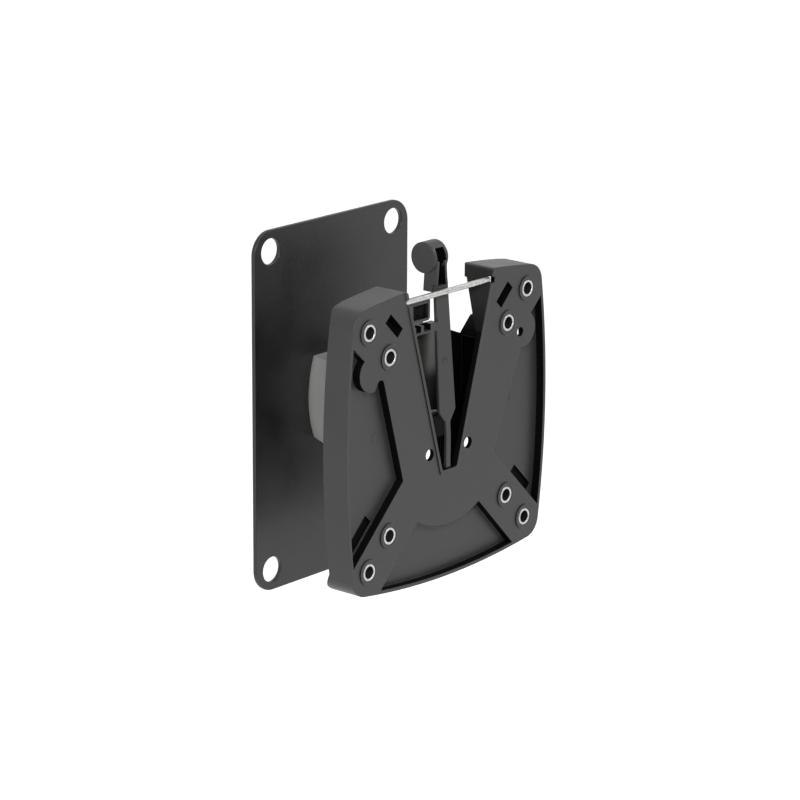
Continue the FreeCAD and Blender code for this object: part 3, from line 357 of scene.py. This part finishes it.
def bake_modifiers(piece):
    """Keep what a piece's modifiers make as its own mesh."""
    depsgraph = bpy.context.evaluated_depsgraph_get()
    baked = bpy.data.meshes.new_from_object(
        piece.evaluated_get(depsgraph), preserve_all_data_layers=True, depsgraph=depsgraph)
    piece.modifiers.clear()
    piece.data = baked


def dress(piece, nodes):
    """Give a finished copy its material and its body, and hide the CAD nodes that it stands for."""
    slot = SLOT_OF[nodes[0]]
    piece.data.materials.clear()
    piece.data.materials.append(FINISH[slot])
    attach(piece, BODY_OF[nodes[0]])
    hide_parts(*nodes)
    return piece


def rounded_piece(node, width):
    """A copy of a CAD node with its sharp edges rounded, shown in the node's place."""
    piece = merged_copy(node)
    work = open_mesh(piece.data)
    bmesh.ops.dissolve_limit(work, angle_limit=DISSOLVE_ANGLE, verts=work.verts, edges=work.edges)
    close_mesh(work, piece.data)
    bevel = piece.modifiers.new("rounding", "BEVEL")
    bevel.width = width
    bevel.segments = EDGE_SEGMENTS
    bevel.limit_method = "ANGLE"
    bevel.angle_limit = SHARP_ANGLE
    bevel.use_clamp_overlap = False
    bevel.harden_normals = True
    bevel.miter_outer = "MITER_ARC"
    weight = piece.modifiers.new("flat_faces", "WEIGHTED_NORMAL")
    weight.keep_sharp = True
    bake_modifiers(piece)
    return dress(piece, [node])


def smooth_curves(mesh):
    """Shade curved faces smooth and flat faces flat, with sharp edges past an angle."""
    work = open_mesh(mesh)
    bmesh.ops.remove_doubles(work, verts=work.verts, dist=MERGE_DISTANCE)
    for face in work.faces:
        bends = [edge.calc_face_angle(0.0) for edge in face.edges]
        face.smooth = any(FLAT_ANGLE < bend < SHARP_ANGLE for bend in bends)
    for edge in work.edges:
        edge.smooth = edge.calc_face_angle(0.0) < SHARP_ANGLE
    close_mesh(work, mesh)


def moulded_piece(nodes, rounds=()):
    """CAD nodes that are one moulding, joined and with corner rounds. Its edges are softened by its finish."""
    piece = merged_copy(nodes[0])
    steps = [(merged_copy(node), "UNION") for node in nodes[1:]]
    steps += rounds
    for other, operation in steps:
        step = piece.modifiers.new(operation.lower(), "BOOLEAN")
        step.operation = operation
        step.solver = "EXACT"
        step.object = other
    bake_modifiers(piece)
    for other, _ in steps:
        bpy.data.objects.remove(other)
    smooth_curves(piece.data)
    return dress(piece, nodes)


def corner_prism(corner, ways, radius, margin, depths):
    """A prism between a corner, given across and up on the head, and the round that touches its two sides."""
    corner = Vector((corner[0], HEAD_MIDDLE + corner[1]))
    one, other = (Vector(way).normalized() for way in ways)
    half = one.angle(other) / 2.0
    inward = (one + other).normalized()
    centre = corner + inward * (radius / math.sin(half))
    first = corner + one * (radius / math.tan(half)) - centre
    last = corner + other * (radius / math.tan(half)) - centre
    swing = first.angle_signed(last)
    outline = [corner - inward * margin]
    for step in range(ROUND_STEPS + 1):
        outline.append(centre + Matrix.Rotation(-swing * step / ROUND_STEPS, 2) @ first)
    count = len(outline)
    points = [(x, HEAD_FRONT + depth, z) for depth in depths for x, z in outline]
    faces = [tuple(range(count)), tuple(range(count, 2 * count))]
    faces += [(row, (row + 1) % count, count + (row + 1) % count, count + row) for row in range(count)]
    mesh = bpy.data.meshes.new("corner_prism")
    mesh.from_pydata(points, [], faces)
    work = open_mesh(mesh)
    bmesh.ops.recalc_face_normals(work, faces=work.faces)
    close_mesh(work, mesh)
    return add_object("corner_prism", mesh)


def round_corners():
    """Rounds for the tops of the two blocks beside the notch and for the corners of its floor."""
    rounds = []
    for side in (-1.0, 1.0):
        top = (side * BLOCK_CORNER_ACROSS, BLOCK_CORNER_UP)
        top_ways = ((-side * NOTCH_LEAN, -1.0), (side, -BLOCK_TOP_FALL))
        rounds.append((corner_prism(top, top_ways, BLOCK_ROUND, BLOCK_MARGIN, BLOCK_DEPTHS), "DIFFERENCE"))
        floor = (side * NOTCH_FLOOR_HALF, NOTCH_FLOOR_UP)
        floor_ways = ((side * NOTCH_LEAN, 1.0), (-side, 0.0))
        rounds.append((corner_prism(floor, floor_ways, FLOOR_ROUND, FLOOR_MARGIN, FLOOR_DEPTHS), "UNION"))
    return rounds


ROUNDING = {
    "wall_plate": 0.35 * MM,
    "hub_screws": 0.12 * MM,
    "tilt_bolt": 0.4 * MM,
    "tilt_washer": 0.15 * MM,
    "tilt_friction_discs": 0.1 * MM,
    "tilt_yoke": 0.5 * MM,
    "swivel_bolt": 0.4 * MM,
    "swivel_nut": 0.4 * MM,
    "swivel_washers": 0.15 * MM,
    "swivel_friction_discs": 0.1 * MM,
    "swivel_knuckle": 0.4 * MM,
    "spin_friction_ring": 0.1 * MM,
    "spin_washer": 0.15 * MM,
    "spin_bolt": 0.35 * MM,
    "release_shoe": 0.25 * MM,
    "release_lever": 0.25 * MM,
    "cross_rod": 0.25 * MM,
}
rounded = {node: rounded_piece(node, width) for node, width in ROUNDING.items()}
moulded_piece(["wall_hub"])
head = moulded_piece(["head_frame", "head_rim"], round_corners())


# Painted shade on the head and the lever: near-black recess walls, slots and pockets, and darker notch walls

def on_head(point):
    """How far a point lies above the head's middle and behind its front."""
    return point.z - HEAD_MIDDLE, point.y - HEAD_FRONT


def head_painted_shade(centre, normal):
    """Where near-black painted shade goes on the head: walls of the sunk fields, the slots and the lower notch,
    the rim's inside and the slots' floors.
    """
    up, depth = on_head(centre)
    if KEEPER_LEFT < centre.x < KEEPER_RIGHT and KEEPER_LOW < up < KEEPER_HIGH:
        return depth > SLOT_DEPTH and normal.y < FACING
    if abs(normal.y) > FACING:
        return depth > SLOT_DEPTH and normal.y < 0.0 and abs(centre.x) > NOTCH_HALF
    if abs(centre.x) < NOTCH_HALF and up > NOTCH_DARK_UP:
        return False
    faces_in = normal.x * centre.x + normal.z * up < 0.0
    if depth > BACK_FROM:
        return faces_in and abs(centre.x) < NOTCH_HALF and up > NOTCH_LOW
    near_rim = max(abs(centre.x), abs(up)) > RIM_FROM
    return faces_in or not near_rim


def lever_recess(centre, normal):
    """Where near-black painted shade goes on the lever: the inside of its channel, the slot in its knob and the
    pockets in its latch arm.
    """
    up, depth = on_head(centre)
    if up > CHANNEL_FROM and abs(centre.x) < CHANNEL_HALF:
        in_knob = math.hypot(depth - KNOB_DEPTH, up - KNOB_UP) < KNOB_INSIDE
        in_channel = up < KNOB_UP and depth > CHANNEL_FRONT and normal.y < FACING
        return in_knob or in_channel
    in_arm = ARM_LEFT < centre.x < ARM_RIGHT and ARM_LOW < up < ARM_HIGH
    return in_arm and (abs(normal.x) > FACING or (normal.y < -FACING and depth > ARM_POCKET_FROM))


def notch_wall(centre, normal):
    """The upper walls of the V notch, which get painted shade that darkens downwards, above the part that is
    painted near black as shade.
    """
    up = on_head(centre)[0]
    in_notch = abs(centre.x) < NOTCH_HALF and up > NOTCH_DARK_UP
    return in_notch and abs(normal.y) < FACING and abs(normal.x) > FACING


def part_notch_walls(mesh):
    """Cut the notch's walls across where their painted shade is full, so that each painted shade material ends on
    an edge.
    """
    work = open_mesh(mesh)
    walls = [face for face in work.faces
             if abs(face.normal.y) < FACING and abs(face.calc_center_median().x) < NOTCH_HALF]
    edges = {edge for face in walls for edge in face.edges}
    points = {point for face in walls for point in face.verts}
    level = (0.0, 0.0, HEAD_MIDDLE + NOTCH_DARK_UP)
    bmesh.ops.bisect_plane(work, geom=[*walls, *edges, *points], plane_co=level, plane_no=(0.0, 0.0, 1.0))
    close_mesh(work, mesh)


def paint_shade(piece, finish, picked):
    """Paint shade on the faces that a test picks, as a darker material of their own."""
    piece.data.materials.append(finish)
    place = len(piece.data.materials) - 1
    for face in piece.data.polygons:
        if picked(face.center, face.normal):
            face.material_index = place


part_notch_walls(head.data)
paint_shade(head, recess_painted_shade, head_painted_shade)
paint_shade(head, notch_wall_painted_shade, notch_wall)
paint_shade(rounded["release_lever"], recess_painted_shade, lever_recess)


# Bushes with rolled rims, and the marks of the mould's ejector pins

BUSH_PROUD = 0.5 * MM
BUSH_SUNK = 6.0 * MM
BUSH_SHAPE = {
    "Outer Radius": 3.7 * MM,
    "Bore Radius": 2.5 * MM,
    "Length": BUSH_PROUD + BUSH_SUNK,
    "Rim Round": 0.45 * MM,
    "Depth": HEAD_FRONT + (BUSH_SUNK - BUSH_PROUD) / 2,
    "Height": HEAD_MIDDLE,
}
BUSH_PATTERNS = {"vesa_100_eyelets": 100.0 * MM, "vesa_75_eyelets": 75.0 * MM}
BUSH_STEPS = 64
RIM_STEPS = 5
BORE_MARGIN = 0.12 * MM
FIELD_FLOOR = 3.8 * MM
FIELD_MARK_UP = 4.0 * MM
FIELD_MARKS = {
    "Count": 2.0,
    "Span": 84.0 * MM,
    "Ring Radius": 2.2 * MM,
    "Ridge": 0.1 * MM,
    "Depth": HEAD_FRONT + FIELD_FLOOR,
    "Height": HEAD_MIDDLE + FIELD_MARK_UP,
}
LEVER_FRONT = 2.38 * MM
LEVER_MARK_UP = 28.0 * MM
LEVER_MARK = {
    "Count": 1.0,
    "Span": 0.0,
    "Ring Radius": 1.32 * MM,
    "Ridge": 0.16 * MM,
    "Depth": HEAD_FRONT + LEVER_FRONT,
    "Height": HEAD_MIDDLE + LEVER_MARK_UP,
}
RING_STEPS = 40
RIDGE_STEPS = 8
MESH_OUT = {"Mesh": "NodeSocketGeometry"}


def grown_piece(name, tree, settings, body, replaced=None):
    """Run a geometry tree once and keep its mesh as a piece that rides on a body."""
    piece = add_object(name, bpy.data.meshes.new(name))
    grower = piece.modifiers.new("grow", "NODES")
    grower.node_group = tree
    for item in tree.interface.items_tree:
        if item.item_type == "SOCKET" and item.in_out == "INPUT":
            grower[item.identifier] = settings[item.name]
    bake_modifiers(piece)
    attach(piece, body)
    if replaced:
        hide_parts(replaced)
    return piece


def circle(tree, radius, steps, at):
    """A circle as a curve."""
    return feed(tree, "GeometryNodeCurvePrimitiveCircle", at, {
        "Radius": radius, "Resolution": steps}, "Curve", mode="RADIUS")


def swept(tree, path, section, at):
    """The mesh of a section swept along a path."""
    return feed(tree, "GeometryNodeCurveToMesh", at, {"Curve": path, "Profile Curve": section}, "Mesh")


def copies(tree, points, shape, at):
    """A copy of a shape on every point."""
    return feed(tree, "GeometryNodeInstanceOnPoints", at, {"Points": points, "Instance": shape}, "Instances")


def realized(tree, shapes, at):
    """Copies turned into one mesh."""
    return feed(tree, "GeometryNodeRealizeInstances", at, {"Geometry": shapes}, "Geometry")


def coated(tree, inputs, at):
    """A mesh with a material set."""
    return feed(tree, "GeometryNodeSetMaterial", at, inputs, "Geometry")


def bush_tree():
    """Four bushes on a square pattern: a rounded wall swept round a circle, with painted shade in its bore."""
    tree, start, end = new_group(
        "monitor_bushes", "GeometryNodeTree",
        {"Pattern": BUSH_PATTERNS["vesa_100_eyelets"], **BUSH_SHAPE}, MESH_OUT)
    outer, inner = start["Outer Radius"], start["Bore Radius"]
    wall = arithmetic(tree, "SUBTRACT", (-950, 200), outer, inner)
    both = arithmetic(tree, "ADD", (-950, 0), outer, inner)
    middle = arithmetic(tree, "MULTIPLY", (-750, 0), both, 0.5)
    path = circle(tree, middle, BUSH_STEPS, (-550, 0))
    section = feed(tree, "GeometryNodeCurvePrimitiveQuadrilateral", (-750, 250), {
        "Width": wall, "Height": start["Length"]}, "Curve", mode="RECTANGLE")
    soft = feed(tree, "GeometryNodeFilletCurve", (-550, 250), {
        "Curve": section, "Radius": start["Rim Round"], "Count": RIM_STEPS}, "Curve", mode="POLY")
    bush = swept(tree, path, soft, (-350, 100))
    place = feed(tree, "GeometryNodeInputPosition", (-550, -200), {}, "Position")
    split = axes(tree, place, (-350, -200))
    flat = feed(tree, "ShaderNodeCombineXYZ", (-150, -200), {"X": split["X"], "Y": split["Y"]}, "Vector")
    reach = feed(tree, "ShaderNodeVectorMath", (50, -200), {0: flat}, "Value", operation="LENGTH")
    limit = arithmetic(tree, "ADD", (-150, -400), inner, BORE_MARGIN)
    inside = arithmetic(tree, "LESS_THAN", (250, -200), reach, limit)
    marked = feed(tree, "GeometryNodeStoreNamedAttribute", (-100, 100), {
        "Geometry": bush, "Name": "bore", "Value": inside}, "Geometry", data_type="BOOLEAN", domain="FACE")
    square = feed(tree, "GeometryNodeMeshGrid", (-100, 400), {
        "Vertices X": 2, "Vertices Y": 2, "Size X": start["Pattern"], "Size Y": start["Pattern"]}, "Mesh")
    bushes = copies(tree, square, marked, (150, 250))
    centre = feed(tree, "ShaderNodeCombineXYZ", (150, 0), {"Y": start["Depth"], "Z": start["Height"]}, "Vector")
    standing = feed(tree, "GeometryNodeTransform", (400, 250), {
        "Geometry": bushes, "Translation": centre, "Rotation": UPRIGHT}, "Geometry")
    real = realized(tree, standing, (600, 250))
    bright = coated(tree, {"Geometry": real, "Material": zinc_steel}, (800, 250))
    # Painted shade on the bore faces
    bore = feed(tree, "GeometryNodeInputNamedAttribute", (800, 0), {
        "Name": "bore"}, "Attribute", data_type="BOOLEAN")
    dark = coated(tree, {"Geometry": bright, "Selection": bore, "Material": bore_shadow}, (1000, 250))
    set_inputs(tree, end, {"Mesh": dark})
    return tree


def ejector_tree():
    """Rings that the mould's ejector pins leave, in a level row about the middle."""
    tree, start, end = new_group("ejector_marks", "GeometryNodeTree", FIELD_MARKS, MESH_OUT)
    path = circle(tree, start["Ring Radius"], RING_STEPS, (-800, 0))
    section = circle(tree, start["Ridge"], RIDGE_STEPS, (-800, 250))
    ring = swept(tree, path, section, (-550, 100))
    upright = feed(tree, "GeometryNodeTransform", (-300, 100), {"Geometry": ring, "Rotation": UPRIGHT}, "Geometry")
    ends = []
    for share, level in ((-0.5, -250), (0.5, -450)):
        across = arithmetic(tree, "MULTIPLY", (-800, level), start["Span"], share)
        ends.append(feed(tree, "ShaderNodeCombineXYZ", (-550, level), {
            "X": across, "Y": start["Depth"], "Z": start["Height"]}, "Vector"))
    row = feed(tree, "GeometryNodeMeshLine", (-300, -250), {
        "Count": start["Count"], "Start Location": ends[0], "Offset": ends[1]}, "Mesh", mode="END_POINTS")
    real = realized(tree, copies(tree, row, upright, (0, 0)), (250, 0))
    set_inputs(tree, end, {"Mesh": coated(tree, {"Geometry": real, "Material": head_plastic}, (500, 0))})
    return tree


BUSHES = bush_tree()
for node, pattern in BUSH_PATTERNS.items():
    grown_piece(node + "_rolled", BUSHES, {"Pattern": pattern, **BUSH_SHAPE}, "head", node)
EJECTOR_MARKS = ejector_tree()
grown_piece("field_ejector_marks", EJECTOR_MARKS, FIELD_MARKS, "head")
grown_piece("lever_ejector_mark", EJECTOR_MARKS, LEVER_MARK, "lever")


# Stage, light and camera

FLOOR_DROP = 0.32
FLOOR_HALF = 9.0
FLOOR_PAPER = (0.9, 0.9, 0.9, 1.0)
FLOOR_ROUGHNESS = 0.9
FLOOR_GLOW = 0.8
BACKDROP_LIGHT = 0.2
BACKDROP_SEEN = 1.0
# Each softbox: place, aim, size and power
SOFTBOXES = {
    "front_softbox": ((0.4, -1.6, 1.2), (0, -0.04, 0), (0.6, 0.6), 9.0),
    "side_strip": ((-1.4, 0.0, 0.25), (0, -0.03, 0), (0.3, 1.2), 5.0),
    "near_softbox": ((-0.38, -0.45, 0.34), (-0.02, -0.066, 0), (0.14, 0.14), 2.4),
    "right_fill": ((1.3, -0.1, 0.5), (0, -0.04, 0), (0.5, 0.5), 3.0),
}
CAMERA_AT = (-1.035, -0.927, 0.390)
CAMERA_AZIMUTH = math.radians(-49.38)
CAMERA_ELEVATION = math.radians(15.79)
CAMERA_ROLL = math.radians(0.32)
CAMERA_CLIP = (0.05, 60.0)
FOCAL_PX = 3411.0
IMAGE_PX = 800.0
SENSOR_MM = 36.0


def seen_directly(tree, at):
    """1 for camera, glossy and transmission rays, 0 for the light that falls on surfaces."""
    path = add_node(tree, "ShaderNodeLightPath", at)
    seen = path.outputs["Is Camera Ray"]
    for step, ray in enumerate(("Is Glossy Ray", "Is Transmission Ray"), 1):
        seen = arithmetic(tree, "MAXIMUM", (at[0] + 200 * step, at[1]), seen, path.outputs[ray])
    return seen


def pale_floor():
    """White paper under the part, which looks brighter than the light it throws."""
    mesh = bpy.data.meshes.new("floor")
    corners = ((-1, -1), (1, -1), (1, 1), (-1, 1))
    mesh.from_pydata([(x * FLOOR_HALF, y * FLOOR_HALF, -FLOOR_DROP) for x, y in corners], [], [(0, 1, 2, 3)])
    floor = add_object("floor", mesh)
    material, tree, shader = new_material("floor_paper")
    glow = arithmetic(tree, "MULTIPLY", (0, -300), seen_directly(tree, (-700, -300)), FLOOR_GLOW)
    set_inputs(tree, shader, {
        "Base Color": FLOOR_PAPER, "Roughness": FLOOR_ROUGHNESS,
        "Emission Color": WHITE, "Emission Strength": glow})
    mesh.materials.append(material)


def studio_world():
    """A white backdrop, which looks brighter than the light it throws."""
    world = bpy.data.worlds.new("studio")
    bpy.context.scene.world = world
    world.use_nodes = True
    tree = world.node_tree
    tree.nodes.clear()
    strength = feed(tree, "ShaderNodeMapRange", (100, -200), {
        "Value": seen_directly(tree, (-700, -200)), "To Min": BACKDROP_LIGHT, "To Max": BACKDROP_SEEN}, "Result")
    backdrop = feed(tree, "ShaderNodeBackground", (300, 0), {"Color": WHITE, "Strength": strength}, "Background")
    output = add_node(tree, "ShaderNodeOutputWorld", (600, 0))
    set_inputs(tree, output, {"Surface": backdrop})


def softbox(name, at, aim, size, power):
    """A rectangular lamp that faces its aim."""
    lamp = bpy.data.lights.new(name, "AREA")
    lamp.shape = "RECTANGLE"
    lamp.size, lamp.size_y = size
    lamp.energy = power
    box = add_object(name, lamp)
    box.location = at
    box.rotation_euler = (Vector(aim) - Vector(at)).to_track_quat("-Z", "Y").to_euler()


def photo_camera():
    """The camera that took the photo."""
    lens = bpy.data.cameras.new("photo_camera")
    lens.sensor_width = SENSOR_MM
    lens.lens = FOCAL_PX / IMAGE_PX * SENSOR_MM
    lens.clip_start, lens.clip_end = CAMERA_CLIP
    camera = add_object("photo_camera", lens)
    turn = (Matrix.Rotation(CAMERA_AZIMUTH, 4, "Z")
            @ Matrix.Rotation(math.radians(90.0) - CAMERA_ELEVATION, 4, "X")
            @ Matrix.Rotation(CAMERA_ROLL, 4, "Z"))
    camera.matrix_world = Matrix.Translation(CAMERA_AT) @ turn
    bpy.context.scene.camera = camera


pale_floor()
studio_world()
for name, (at, aim, size, power) in SOFTBOXES.items():
    softbox(name, at, aim, size, power)
photo_camera()
bpy.context.scene.view_settings.view_transform = "Standard"
